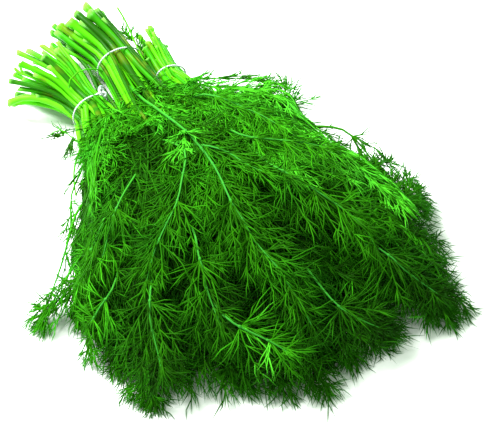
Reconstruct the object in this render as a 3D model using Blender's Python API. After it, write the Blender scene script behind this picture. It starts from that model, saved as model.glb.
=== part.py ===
"""Dill bunch: three thread-tied bundles of cut dill whose leaves merge in one feathery heap.

Every sprig is one closed solid: a round stalk that runs from its cut end through its
bundle's thread tie and swells into the space its leaves fill, down to the leaf tip.
The bunch lies on its lowest leaves. Lengths are in millimetres here and become metres
when the meshes are made. +X runs from the cut ends to the leaf tips, +Z is up.
"""

import math

import bmesh
import bpy
from mathutils import Matrix, Vector

MM = 0.001

BUNCH_NAME = "dill_bunch"

# Leaves fan out from one point behind the ties: (angle in degrees, reach of the tips)
FAN_POINT = Vector((-150.0, 0.0))
FAN_REACH = ((-34, 222), (-26, 256), (-18, 283), (-9, 288), (0, 303),
             (9, 296), (16, 304), (22, 284), (31, 244), (38, 206))
SIDE_ANGLES = (-34.0, 38.0)
# The fan is narrower near the ties: (distance from the fan point, share of the angle)
FAN_NARROWING = ((75, 0.78), (100, 0.76), (150, 0.82), (200, 0.91), (235, 1.0))
HEAP_START = 82.0
HEAP_HEIGHT = 66.0
HEAP_EDGE_HEIGHT = 9.0

# How high the heap is at shares of the way from its start to its tips
HEAP_PROFILE = ((0.0, 0.46), (0.14, 0.72), (0.34, 0.95), (0.52, 1.0),
                (0.72, 0.82), (0.88, 0.5), (1.0, 0.22))

# Bundles: stalk radius, spacing and rows at the tie, then the line of cut ends, the
# middle of the stalks and the tie, each as (x, y, z, heading in degrees, spread)
BUNDLES = {
    "left": {
        "stalk_radius": 1.75, "spacing": 4.25, "rows": (3, 4, 5, 4, 3),
        "cut": (-127.5, -45.0, 20.0, 37.0, 2.55),
        "middle": (-108.0, -33.5, 18.5, 27.0, 1.6),
        "tie": (-86.4, -27.5, 15.0, 13.0, 1.0),
        "fan": (-34.0, -12.8),
        "end_shift": (0.0, 7.0, -6.0, 4.0, -9.0, 9.0, -3.0, 5.0, -8.0, 2.0),
    },
    "middle": {
        "stalk_radius": 2.0, "spacing": 5.0, "rows": (3, 4, 5, 4, 3),
        "cut": (-145.0, -9.0, 24.0, 12.0, 1.42),
        "middle": (-129.0, -3.2, 21.2, 10.0, 1.2),
        "tie": (-109.4, 2.0, 17.5, 3.0, 1.0),
        "fan": (-11.5, 13.5),
        "end_shift": (3.0, -5.0, 0.0, 6.0, -7.0, 2.0, 5.0, -4.0, 1.0, -6.0),
    },
    "right": {
        "stalk_radius": 1.75, "spacing": 4.25, "rows": (2, 3, 4, 3, 2),
        "cut": (-115.0, 29.0, 18.0, -5.0, 1.15),
        "middle": (-102.0, 28.5, 16.0, -4.0, 1.06),
        "tie": (-87.0, 27.8, 13.5, -2.0, 1.0),
        "fan": (14.4, 38.0),
        "end_shift": (0.0, -5.0, 3.0, -2.0, 4.0, -4.0, 2.0, -6.0, 5.0, 0.0),
    },
}

# Sprig solids
RING_SIDES = 8
RING_PLACES = (0.0, 0.5, 1.0, 1.5, 2.0, 3.0, 3.5, 4.0, 5.0, 6.0, 7.0, 7.7, 8.3, 8.7, 9.0)
FIRST_LEAF_PLACE = 4.0
LEAF_STATIONS = (0.0, 0.14, 0.34, 0.55, 0.76, 1.0)
ROW_REACH = (1.0, 0.97, 0.9, 0.79, 0.66)
CELL_FILL = 0.84
TIE_HALF_LENGTH = 7.0

# Thread ties
THREAD_RADIUS = 0.5
THREAD_GAP = 0.3
THREAD_POINTS = 44
KNOT_RADIUS = 2.8
KNOT_ANGLES = {"left": 52.0, "middle": 318.0, "right": 330.0}


def blend(low, high, share):
    return low + (high - low) * share


def along_table(table, value):
    """Read a table of (place, size) pairs at any place, with rounded steps between."""
    if value <= table[0][0]:
        return table[0][1]
    for (place, size), (next_place, next_size) in zip(table, table[1:]):
        if value <= next_place:
            share = (value - place) / (next_place - place)
            return blend(size, next_size, share * share * (3.0 - 2.0 * share))
    return table[-1][1]


def curve_point(points, place):
    """Point on the smooth curve through evenly numbered points."""
    index = min(int(place), len(points) - 2)
    t = place - index
    before = points[max(index - 1, 0)]
    start = points[index]
    end = points[index + 1]
    after = points[min(index + 2, len(points) - 1)]
    return 0.5 * ((2.0 * start) + (end - before) * t
                  + (2.0 * before - 5.0 * start + 4.0 * end - after) * t * t
                  + (3.0 * start - before - 3.0 * end + after) * t ** 3)


def heap_point(angle, share, height_share):
    """Point in the heap: fan angle, share of the way to the tips, share of the height."""
    reach = along_table(FAN_REACH, angle)
    radius = blend(HEAP_START, reach, share)
    turn = math.radians(angle * along_table(FAN_NARROWING, radius))
    middle = sum(SIDE_ANGLES) / 2.0
    half = (SIDE_ANGLES[1] - SIDE_ANGLES[0]) / 2.0
    across = min(abs(angle - middle) / half, 1.0)
    dome = math.sqrt(1.0 - across ** 2.4)
    full = HEAP_HEIGHT * along_table(HEAP_PROFILE, share)
    top = HEAP_EDGE_HEIGHT + (full - HEAP_EDGE_HEIGHT) * dome
    if full < HEAP_EDGE_HEIGHT:
        top = full
    floor = 4.0 * max(0.0, 1.0 - share / 0.2)
    return Vector((FAN_POINT.x + radius * math.cos(turn),
                   FAN_POINT.y + radius * math.sin(turn),
                   blend(floor, top, height_share)))


def stalk_frame(bundle, station):
    """Centre, sideways and forward directions of a bundle at its cut, middle or tie."""
    x, y, z, heading, spread = bundle[station]
    turn = math.radians(heading)
    side = Vector((-math.sin(turn), math.cos(turn), 0.0))
    forward = Vector((math.cos(turn), math.sin(turn), 0.0))
    return Vector((x, y, z)), side, forward, spread


def stalk_offset(bundle, row, lane):
    """Where a stalk sits in the packed bundle, sideways and upward from its centre."""
    rows = bundle["rows"]
    side = (lane - (rows[row] - 1) / 2.0) * bundle["spacing"]
    up = (row - (len(rows) - 1) / 2.0) * bundle["spacing"] * math.sqrt(3.0) / 2.0
    return side, up


def ring_side_points(bundle, row, lane, number, direction):
    """Stations of one of the lines that run along a sprig's outside."""
    cosine, sine = direction
    rows = bundle["rows"]
    radius = bundle["stalk_radius"]
    side_offset, up_offset = stalk_offset(bundle, row, lane)
    points = []
    shifts = (("cut", bundle["end_shift"][number % 10]), ("middle", 0.0),
              ("tie", TIE_HALF_LENGTH), ("tie", -TIE_HALF_LENGTH))
    for station, shift in shifts:
        centre, side, forward, spread = stalk_frame(bundle, station)
        lift = 0.5 * (spread - 1.0) + 1.0
        points.append(centre + side * (side_offset * spread + radius * cosine)
                      + Vector((0.0, 0.0, up_offset * lift + radius * sine))
                      - forward * shift)
    low_angle, high_angle = bundle["fan"]
    lane_width = (high_angle - low_angle) / rows[row]
    lane_angle = low_angle + (lane + 0.5) * lane_width
    for share in LEAF_STATIONS:
        grown = min(1.0, 0.45 + share * 3.0)
        angle = lane_angle + 0.5 * lane_width * CELL_FILL * grown * cosine
        level = (row + 0.5 + 0.5 * CELL_FILL * grown * sine) / len(rows)
        if row == 0 and share > 0.25 and sine < -0.5:
            level = 0.0
        points.append(heap_point(angle, share * ROW_REACH[row], level))
    return points


def tip_scale(place):
    """How far the leaf space narrows towards its tip, 1 where it is full."""
    share = max(0.0, (place - 0.55) / 0.45)
    return max(0.16, math.sqrt(max(0.0, 1.0 - share ** 2.2)))


def make_material(name, colour, roughness):
    material = bpy.data.materials.new(name)
    material.use_nodes = True
    shader = material.node_tree.nodes["Principled BSDF"]
    shader.inputs["Base Color"].default_value = (*colour, 1.0)
    shader.inputs["Roughness"].default_value = roughness
    shader.inputs["Metallic"].default_value = 0.0
    return material


def add_object(name, mesh, material, collection):
    mesh.materials.append(material)
    obj = bpy.data.objects.new(name, mesh)
    collection.objects.link(obj)
    return obj


def sprig_rings(bundle, row, lane, number):
    """Rings of points from the cut end to the leaf tip."""
    directions = []
    for side in range(RING_SIDES):
        turn = 2.0 * math.pi * (side + 0.5) / RING_SIDES
        directions.append((math.cos(turn), math.sin(turn)))
    lines = []
    for direction in directions:
        lines.append(ring_side_points(bundle, row, lane, number, direction))
    last = len(lines[0]) - 1
    rings = []
    for place in RING_PLACES:
        points = []
        for line in lines:
            points.append(curve_point(line, place))
        centre = sum(points, Vector()) / RING_SIDES
        scale = tip_scale((place - FIRST_LEAF_PLACE) / (last - FIRST_LEAF_PLACE))
        floor = min(point.z for point in points)
        for index, point in enumerate(points):
            moved = centre + (point - centre) * scale
            if row == 0 and place > FIRST_LEAF_PLACE + 1.0:
                moved.z = max(0.0, moved.z - (floor + (centre.z - floor) * (1.0 - scale)))
            points[index] = moved
        rings.append(points)
    return rings


def loft(name, rings):
    """Closed mesh through rings with the same number of points."""
    shape = bmesh.new()
    layers = []
    for ring in rings:
        layers.append([shape.verts.new(point * MM) for point in ring])
    for lower, upper in zip(layers, layers[1:]):
        for side in range(RING_SIDES):
            after = (side + 1) % RING_SIDES
            shape.faces.new((lower[side], lower[after], upper[after], upper[side]))
    shape.faces.new(layers[0])
    shape.faces.new(layers[-1])
    bmesh.ops.recalc_face_normals(shape, faces=shape.faces)
    for face in shape.faces:
        face.smooth = len(face.verts) == 4
    mesh = bpy.data.meshes.new(name)
    shape.to_mesh(mesh)
    shape.free()
    return mesh


def tie_points(bundle):
    """Closed oval thread route that just clears the outer stalks of a bundle at its tie."""
    centre, side, forward, spread = stalk_frame(bundle, "tie")
    offsets = []
    for row, count in enumerate(bundle["rows"]):
        for lane in range(count):
            offsets.append(stalk_offset(bundle, row, lane))
    reach = bundle["stalk_radius"] + THREAD_GAP + THREAD_RADIUS
    wide = max(offset[0] for offset in offsets) + reach
    tall = max(offset[1] for offset in offsets) + reach
    turns = [2.0 * math.pi * step / THREAD_POINTS for step in range(THREAD_POINTS)]
    grown = 1.0
    for offset in offsets:
        for turn in turns:
            grown = max(grown, math.hypot((offset[0] + reach * math.cos(turn)) / wide,
                                          (offset[1] + reach * math.sin(turn)) / tall))
    points = []
    for turn in turns:
        points.append(centre + side * (wide * grown * math.cos(turn))
                      + Vector((0.0, 0.0, tall * grown * math.sin(turn))))
    return points


def make_tie(name, bundle, knot_angle, material, collection, cutters):
    """One thread: a closed loop round the stalks with its knot grown into it."""
    points = tie_points(bundle)
    route = bpy.data.curves.new(name + "_route", "CURVE")
    route.dimensions = "3D"
    route.bevel_depth = THREAD_RADIUS * MM
    route.bevel_resolution = 1
    spline = route.splines.new("POLY")
    spline.points.add(len(points) - 1)
    for place, point in zip(spline.points, points):
        place.co = (*(point * MM), 1.0)
    spline.use_cyclic_u = True
    thread = bpy.data.objects.new(name + "_route", route)
    collection.objects.link(thread)
    depsgraph = bpy.context.evaluated_depsgraph_get()
    mesh = bpy.data.meshes.new_from_object(thread.evaluated_get(depsgraph))
    bpy.data.objects.remove(thread)
    tie = add_object(name, mesh, material, collection)

    at = points[round(knot_angle / 360.0 * THREAD_POINTS) % THREAD_POINTS]
    centre = stalk_frame(bundle, "tie")[0]
    outward = (at - centre).normalized()
    lump = bmesh.new()
    bmesh.ops.create_uvsphere(lump, u_segments=12, v_segments=8, radius=KNOT_RADIUS * MM)
    bmesh.ops.translate(lump, verts=lump.verts,
                        vec=(at + outward * (KNOT_RADIUS - THREAD_RADIUS - 0.1)) * MM)
    for face in lump.faces:
        face.smooth = True
    knot = bpy.data.objects.new(name + "_knot", bpy.data.meshes.new(name + "_knot"))
    lump.to_mesh(knot.data)
    lump.free()
    knot.hide_render = True
    knot.display_type = "WIRE"
    cutters.objects.link(knot)

    join = tie.modifiers.new("knot", "BOOLEAN")
    join.operation = "UNION"
    join.solver = "EXACT"
    join.object = knot


def stand_on_origin(objects):
    """Move every mesh so that the middle of the bunch's underside is at the origin."""
    places = []
    for obj in objects:
        places += [vertex.co for vertex in obj.data.vertices]
    low = Vector([min(place[axis] for place in places) for axis in range(3)])
    high = Vector([max(place[axis] for place in places) for axis in range(3)])
    middle = (low + high) / 2.0
    middle.z = low.z
    for obj in objects:
        obj.data.transform(Matrix.Translation(-middle))


def build():
    for obj in list(bpy.data.objects):
        bpy.data.objects.remove(obj)
    collection = bpy.data.collections.new(BUNCH_NAME)
    cutters = bpy.data.collections.new("tie_knots")
    bpy.context.scene.collection.children.link(collection)
    bpy.context.scene.collection.children.link(cutters)

    for side_name, bundle in BUNDLES.items():
        number = 0
        for row, count in enumerate(bundle["rows"]):
            for lane in range(count):
                number += 1
                name = f"{side_name}_sprig_{number:02d}"
                green = (0.10 + 0.012 * row, 0.36 + 0.03 * row, 0.03)
                material = make_material(name, green, 0.55)
                rings = sprig_rings(bundle, row, lane, number)
                add_object(name, loft(name, rings), material, collection)
        tie_name = f"{side_name}_thread_tie"
        white = make_material(tie_name, (0.85, 0.86, 0.88), 0.8)
        make_tie(tie_name, bundle, KNOT_ANGLES[side_name], white, collection, cutters)

    stand_on_origin([*collection.objects, *cutters.objects])


build()
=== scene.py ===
import math
import random

import bmesh
import bpy
import numpy as np
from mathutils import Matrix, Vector


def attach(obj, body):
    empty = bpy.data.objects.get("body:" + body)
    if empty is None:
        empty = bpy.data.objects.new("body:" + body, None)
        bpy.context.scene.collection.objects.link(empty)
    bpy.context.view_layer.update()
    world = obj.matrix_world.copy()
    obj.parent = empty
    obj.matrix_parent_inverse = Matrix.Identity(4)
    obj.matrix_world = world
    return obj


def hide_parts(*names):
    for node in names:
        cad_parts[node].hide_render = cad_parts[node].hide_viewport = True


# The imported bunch: every sprig's solid gives the line that its stalk and leaves grow along.
# All lengths below are millimetres until a mesh is made, then metres.
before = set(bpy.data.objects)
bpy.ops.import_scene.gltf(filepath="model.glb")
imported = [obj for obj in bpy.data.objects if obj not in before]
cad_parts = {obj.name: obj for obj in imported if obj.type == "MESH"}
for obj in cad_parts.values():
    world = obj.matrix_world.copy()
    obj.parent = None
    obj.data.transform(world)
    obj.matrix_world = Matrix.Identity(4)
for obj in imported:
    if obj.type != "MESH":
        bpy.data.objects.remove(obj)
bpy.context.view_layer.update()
MM = 0.001

# ---------------------------------------------------------------------------------------
# Sprigs. Each is one cut shoot of dill: a ribbed juicy stalk, pithy and pale where the
# knife went through, that carries leaves split again and again into soft green threads.
# Nothing fixes the leaves of one sprig to the next, they only tangle.

# The leaves fan out from this point. Reach is by fan angle in degrees, narrowing by radius.
FAN_POINT = Vector((-149.29, -1.81, 0.0))
FAN_REACH = ((-34, 222), (-26, 256), (-18, 283), (-9, 288), (0, 303),
             (9, 296), (16, 304), (22, 284), (31, 244), (38, 206))
FAN_NARROWING = ((75, 0.78), (100, 0.76), (150, 0.82), (200, 0.91), (235, 1.0))
FAN_SIDES = (-34.0, 38.0)
# Height of the heap by share of the way to the tips. The pile's top is squeezed into a range.
HEAP_START = 82.0
HEAP_HEIGHT = 66.0
HEAP_EDGE_HEIGHT = 9.0
PILE_TOP = (66.0, 73.5)
TOP_LEAF_LIFT = 8.0
DEEP_SHADE = 0.75
SHADE_FROM = 3.5
SHADE_OVER = 11.0
TABLE_GAP = 0.12
TIE_CLEARANCE = 5.5
SMOOTHING_ROUNDS = 14
CROWN_LENGTH = 100.0
LAST_SIDE_LEAF = 55.0
SIDE_STALK_STEPS = 15
HEAP_PROFILE = ((0.0, 0.46), (0.14, 0.72), (0.34, 0.95), (0.52, 1.0),
                (0.72, 0.82), (0.88, 0.5), (1.0, 0.22))
# The leafy mass is a little smaller than the reach of its longest tips: edge angles by
# radius, and reach by angle. Most of these numbers come from separate helper scripts
LEFT_EDGE = ((70, -33), (83, -32), (96, -28.5), (108, -25.5), (132, -26), (145, -25.3),
             (164, -27), (180, -28.5), (192, -27), (204, -26.5), (215, -28.5), (228, -25.5))
RIGHT_EDGE = ((70, 19.5), (84, 19.5), (96, 22), (108, 22.5), (119, 30), (132, 35), (144, 31.5),
              (156, 27.5), (168, 26.5), (180, 24.5), (192, 26), (204, 27), (216, 27), (228, 29))
LEAF_REACH = ((-30, 186), (-27.5, 204), (-24.7, 220), (-21.8, 247), (-18.7, 268), (-15, 272),
              (-11.6, 265), (-8.7, 275), (-3.6, 289), (0.8, 284), (6, 280), (10.9, 281),
              (14.7, 283), (17.6, 298), (20.7, 266), (23.5, 230), (29, 226), (32.4, 165),
              (35.6, 128), (37.4, 122))

# Bevel levels of the strands, and each kind's band of tones on the map
STALK_SIDES_LEVEL = 5
RIB_SIDES_LEVEL = 1
THREAD_SIDES_LEVEL = 0
STALK_TONES = (0.64, 0.98)
RIB_TONES = (0.02, 0.6)
THREAD_TONES = (0.02, 0.56)
RIB_DEPTH = 0.06
THREAD_RADIUS = 0.34
PINNA_RADIUS = 0.46
RACHIS_RADIUS = 0.95
UP = Vector((0.0, 0.0, 1.0))


def along_table(table, value):
    """Read a table of (place, size) pairs at any place, with rounded steps between."""
    if value <= table[0][0]:
        return table[0][1]
    for (place, size), (next_place, next_size) in zip(table, table[1:]):
        if value <= next_place:
            share = (value - place) / (next_place - place)
            return size + (next_size - size) * share * share * (3.0 - 2.0 * share)
    return table[-1][1]


def heap_top(angle, share):
    """Height of the heap at a fan angle and a share of the way to the leaf tips."""
    middle = sum(FAN_SIDES) / 2.0
    half = (FAN_SIDES[1] - FAN_SIDES[0]) / 2.0
    across = min(abs(angle - middle) / half, 1.0)
    full = HEAP_HEIGHT * along_table(HEAP_PROFILE, share)
    if full < HEAP_EDGE_HEIGHT:
        return full
    return HEAP_EDGE_HEIGHT + (full - HEAP_EDGE_HEIGHT) * math.sqrt(1.0 - across ** 2.4)


def heap_point(angle, share, level):
    """Point of the heap from its fan angle, share of the way to the tips, and level."""
    radius = HEAP_START + (along_table(FAN_REACH, angle) - HEAP_START) * share
    turn = math.radians(angle * along_table(FAN_NARROWING, radius))
    floor = 4.0 * max(0.0, 1.0 - share / 0.2)
    top = heap_top(angle, share)
    return Vector((FAN_POINT.x + radius * math.cos(turn),
                   FAN_POINT.y + radius * math.sin(turn), floor + (top - floor) * level))


def heap_place(point):
    """Fan angle, share of the way to the tips, and level of a point."""
    dx = point.x - FAN_POINT.x
    dy = point.y - FAN_POINT.y
    radius = math.hypot(dx, dy)
    angle = math.degrees(math.atan2(dy, dx)) / along_table(FAN_NARROWING, radius)
    share = (radius - HEAP_START) / (along_table(FAN_REACH, angle) - HEAP_START)
    return angle, share, point.z / max(heap_top(angle, min(max(share, 0.0), 1.0)), 1.0)


def eased(value, start, limit):
    """Values past a start are squeezed so that they never pass the limit."""
    room = limit - start
    past = (value - start) / room
    return np.where(past > 0.0, start + room * (1.0 - np.exp(-np.maximum(past, 0.0))), value)


def settle(places, loose=0.0, sunk=0.0):
    """Press leaf points into the shape the whole pile has, as their neighbours would."""
    x = places[:, 0] - FAN_POINT.x
    y = places[:, 1] - FAN_POINT.y
    radius = np.hypot(x, y)
    angle = np.degrees(np.arctan2(y, x))
    left = np.interp(radius, *zip(*LEFT_EDGE))
    right = np.interp(radius, *zip(*RIGHT_EDGE))
    angle = eased(angle, right * 0.84, right * (1.01 + loose))
    angle = -eased(-angle, -left * 0.82, -left * (0.99 + loose))
    reach = np.interp(angle, *zip(*LEAF_REACH)) * (1.01 + loose)
    radius = eased(radius, reach * 0.88, reach * 1.03)
    turn = np.radians(angle)
    share = np.clip((radius - HEAP_START) / (reach + 10.0 - HEAP_START), 0.0, 1.0)
    full = HEAP_HEIGHT * np.interp(share, *zip(*HEAP_PROFILE))
    across = np.clip(np.where(angle > 0.0, angle / right, angle / left), 0.0, 1.0) * 0.97
    top = HEAP_EDGE_HEIGHT + np.maximum(full - HEAP_EDGE_HEIGHT, 0.0) * np.sqrt(1.0 - across ** 2.6)
    z = eased(places[:, 2], top - 5.0 - sunk, top + 1.0 - sunk)
    z = np.maximum(z, 0.4)
    out = np.stack([FAN_POINT.x + radius * np.cos(turn), FAN_POINT.y + radius * np.sin(turn), z], 1)
    near = np.clip((np.hypot(x, y) - 78.0) / 25.0, 0.0, 1.0)[:, None]
    return places + (out - places) * near, top - z


def solid_line(node, count):
    """Centre line of a sprig's solid from its cut end to its tip, in millimetres."""
    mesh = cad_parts[node].data
    places = np.empty(len(mesh.vertices) * 3)
    mesh.vertices.foreach_get("co", places)
    places = places.reshape(-1, 3) / MM
    corners = np.empty(len(mesh.loops), int)
    mesh.loops.foreach_get("vertex_index", corners)
    corners = corners.reshape(-1, 3)
    starts = places[np.concatenate([corners[:, 0], corners[:, 1], corners[:, 2]])]
    ends = places[np.concatenate([corners[:, 1], corners[:, 2], corners[:, 0]])]
    low = places[:, 0].min()
    high = places[:, 0].max()
    line = []
    for step in range(count):
        cut = low + 3.0 + (high - low - 4.0) * step / (count - 1)
        crossing = (starts[:, 0] - cut) * (ends[:, 0] - cut) < 0.0
        a = starts[crossing]
        b = ends[crossing]
        share = (cut - a[:, 0]) / (b[:, 0] - a[:, 0])
        crossed = a + (b - a) * share[:, None]
        line.append(Vector((crossed.min(0) + crossed.max(0)) / 2.0))
    return line


def curve_through(points, step):
    """Evenly spaced points on the smooth curve through a few points."""
    fine = []
    for index in range(len(points) - 1):
        before = points[max(index - 1, 0)]
        start = points[index]
        end = points[index + 1]
        after = points[min(index + 2, len(points) - 1)]
        parts = max(1, round((end - start).length / step))
        for part in range(parts):
            t = part / parts
            fine.append(0.5 * ((2.0 * start) + (end - before) * t
                        + (2.0 * before - 5.0 * start + 4.0 * end - after) * t * t
                        + (3.0 * start - before - 3.0 * end + after) * t ** 3))
    fine.append(points[-1].copy())
    return fine


def lengths_along(path):
    """Distance from the start of a path to each of its points."""
    total = 0.0
    marks = [0.0]
    for start, end in zip(path, path[1:]):
        total += (end - start).length
        marks.append(total)
    return marks


def nearest_index(path, place):
    """Number of the path's point that is nearest to a place."""
    return min(range(len(path)), key=lambda index: (path[index] - place).length)


def place_on(path, marks, distance):
    """Point and direction on a path at a distance from its start."""
    distance = min(max(distance, 0.0), marks[-1])
    index = 0
    while index < len(marks) - 2 and marks[index + 1] < distance:
        index += 1
    span = path[index + 1] - path[index]
    share = (distance - marks[index]) / max(marks[index + 1] - marks[index], 1e-6)
    return path[index] + span * share, span.normalized()


def any_way(rng):
    """A random way, up to one long on each axis."""
    return Vector((rng.uniform(-1, 1), rng.uniform(-1, 1), rng.uniform(-1, 1)))


def add_thread(growth, base, heading, length, bend, tone, radius=THREAD_RADIUS):
    """One leaf thread: a soft needle that bows a little."""
    middle = base + heading * (length * 0.55) - bend * (length * 0.06)
    tip = base + heading * length + bend * (length * 0.15)
    growth["threads"].append(((base, middle, tip), (radius, radius * 0.88, 0.0), tone))


def add_fork(growth, base, heading, side, length, tone, rng, forks, wave=0.5):
    """The last division of a leaf: a thread with shorter threads forking forward off it."""
    bend = any_way(rng) * wave
    add_thread(growth, base, heading, length, bend, tone)
    way = rng.choice((-1.0, 1.0))
    for fork in range(forks):
        start = base + heading * (length * (0.1 + 0.26 * fork + rng.uniform(-0.05, 0.08)))
        spread = rng.uniform(0.2, 0.46)
        twist = side * way + heading.cross(side) * rng.uniform(-0.6, 0.6)
        turned = (heading + twist * spread).normalized()
        add_thread(growth, start, turned, length * rng.uniform(0.58, 0.86),
                   heading + any_way(rng) * wave, tone + rng.uniform(-0.08, 0.1))
        way = -way


def add_pinna(growth, base, heading, forward, up, length, tone, rng, wave=0.5):
    """A side branch of a leaf, with forked threads in pairs and at its end."""
    points = [base]
    here = base.copy()
    course = heading.copy()
    droop = rng.uniform(-0.14, 0.04)
    steps = 4
    for step in range(steps):
        course = (course + forward * 0.17 + UP * droop + any_way(rng) * 0.05 * wave).normalized()
        here = here + course * (length * 0.8 / steps)
        points.append(here.copy())
    radii = [PINNA_RADIUS * (1.0 - 0.11 * index) for index in range(steps)] + [0.0]
    growth["threads"].append((tuple(points), tuple(radii), tone * 0.95))
    marks = lengths_along(points)
    place = rng.uniform(0.6, 1.6)
    first = True
    way = rng.choice((-1.0, 1.0))
    while place < marks[-1] - 1.5:
        spot, course = place_on(points, marks, place)
        side = up.cross(course).normalized()
        left = marks[-1] - place
        size = min(8.0 + 0.6 * left, 23.0) * rng.uniform(0.7, 1.25)
        lift = up * rng.uniform(-0.4, 0.45)
        spread = rng.uniform(0.36, 0.74) if not first else rng.uniform(0.5, 0.95)
        turned = (course + side * way * spread + lift).normalized()
        across = up.cross(turned).normalized()
        add_fork(growth, spot, turned, across, size, tone + rng.uniform(-0.13, 0.14), rng,
                 2 if first else rng.choice((0, 1, 1)), wave)
        way = -way
        first = place < 2.0
        place += 0.6 if first else rng.uniform(5.2, 9.2) * (0.5 + 0.5 * left / marks[-1])
    across = up.cross(course).normalized()
    add_fork(growth, points[-2], course, across, length * 0.22 + 10.0, tone + 0.04, rng, 2, wave)


def add_leaf(growth, path, up, width, tone, rng, bare=0.12, fullness=1.0, thick=1.0, gap=23.0,
             wave=0.5, pale=False):
    """A whole leaf along a path: pairs of side branches at nodes that crowd towards the tip."""
    marks = lengths_along(path)
    total = marks[-1]
    radii = []
    for mark in marks:
        radii.append(RACHIS_RADIUS * thick * (1.0 - 0.68 * mark / total))
    radii[-1] = 0.0
    growth["ribs"].append((tuple(path), tuple(radii), 1.0 if pale else min(tone + 0.12, 0.9)))
    place = max(total * bare, 3.0)
    first = place
    while place < total - 3.0:
        spot, course = place_on(path, marks, place)
        share = (place - first) / (total - first)
        side = up.cross(course).normalized()
        flat = course.cross(side).normalized()
        shape = (1.0 - share) ** 0.8 * min(1.0, 0.8 + share) + 0.14
        if pale and share < 0.6:
            swell = RACHIS_RADIUS * thick * (1.0 - 0.6 * share)
            growth["ribs"].append(((spot - course * 1.3, spot, spot + course * 1.6),
                                   (swell * 0.4, swell * 1.25, swell * 0.4), 1.0))
        ways = (-1.0, 1.0, rng.choice((-0.45, 0.45))) if pale and share < 0.7 else (-1.0, 1.0)
        for way in ways:
            size = width * shape * rng.uniform(0.85, 1.15)
            if rng.random() > fullness:
                continue
            spread = rng.uniform(0.7, 1.25) * (1.0 - 0.3 * share)
            lift = rng.uniform(-0.45, -0.05) if pale else rng.uniform(-0.2, 0.4)
            turned = (course + side * way * spread + flat * lift).normalized()
            plane = (flat + side * way * rng.uniform(-0.5, 0.35)).normalized()
            add_pinna(growth, spot, turned, course, plane, size, tone + rng.uniform(-0.06, 0.06),
                      rng, wave)
        place += max(gap * (1.0 - share) ** 0.8, 6.5) * rng.uniform(0.88, 1.12)
    across = up.cross(course).normalized()
    add_fork(growth, path[-2], course, across, 12.0, tone + 0.05, rng, 2, wave)


def all_points(strands):
    """Every point of some strands, one after the other."""
    return np.array([tuple(point) for points, radii, tone in strands for point in points])


def settle_strands(strands, first, loose, sunk):
    """Settles the strands from the first one on, and paints shade on those that lie deep."""
    mine = strands[first:]
    if not mine:
        return
    places, depth = settle(all_points(mine), loose, sunk)
    at = 0
    for index, (points, radii, tone) in enumerate(mine):
        count = len(points)
        # Painted shade: threads deep under the pile's top are toned darker, less so towards the
        # tips
        shade = DEEP_SHADE - 0.0035 * min(max(places[at][0] - 20.0, 0.0), 100.0)
        shade *= min(max((depth[at] - SHADE_FROM) / SHADE_OVER, 0.0), 1.0)
        strands[first + index] = (tuple(Vector(place) for place in places[at:at + count]), radii,
                                  tone if tone >= 1.0 else tone - shade)
        at += count


def rest_on_table(strands):
    """Strands that would go into the table lie on it, and none stands far above the pile."""
    rested = []
    for points, radii, tone in strands:
        lifted = []
        for point, radius in zip(points, radii):
            height = max(float(eased(point.z, *PILE_TOP)), radius * 1.05 + TABLE_GAP)
            lifted.append(Vector((point.x, point.y, height)))
        rested.append((tuple(lifted), radii, tone))
    return rested


def clear_of_ties(strands):
    """Cuts the strands that would lie over a tie, so that only what comes after it is left."""
    kept = []
    for points, radii, tone in strands:
        last = -1
        for centre, way, side, half in TIE_PLACES:
            for index, point in enumerate(points):
                off = point - centre
                over = abs(off.dot(way)) < TIE_CLEARANCE and abs(off.dot(side)) < half
                if over and off.z > 0.0:
                    last = max(last, index)
        if last < 0:
            kept.append((points, radii, tone))
        elif len(points) - last > 4:
            kept.append((points[last + 1:], radii[last + 1:], tone))
    return kept


def add_settled_leaf(growth, path, up, width, tone, rng, **ways):
    """A leaf whose every thread is pressed into the pile. A pale one lies on top of it."""
    first_thread = len(growth["threads"])
    first_rib = len(growth["ribs"])
    add_leaf(growth, path, up, width, tone, rng, **ways)
    if "pale" in ways:
        loose = 0.06
        sunk = rib_sunk = -TOP_LEAF_LIFT
    else:
        loose = rng.uniform(-0.13, 0.06)
        sunk = rng.uniform(-1.0, 11.0)
        rib_sunk = sunk - 1.0
    settle_strands(growth["threads"], first_thread, loose, sunk)
    settle_strands(growth["ribs"], first_rib, loose, rib_sunk)


def placed(name, data):
    """A new object for some data, put into the scene."""
    thing = bpy.data.objects.new(name, data)
    bpy.context.scene.collection.objects.link(thing)
    return thing


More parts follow.
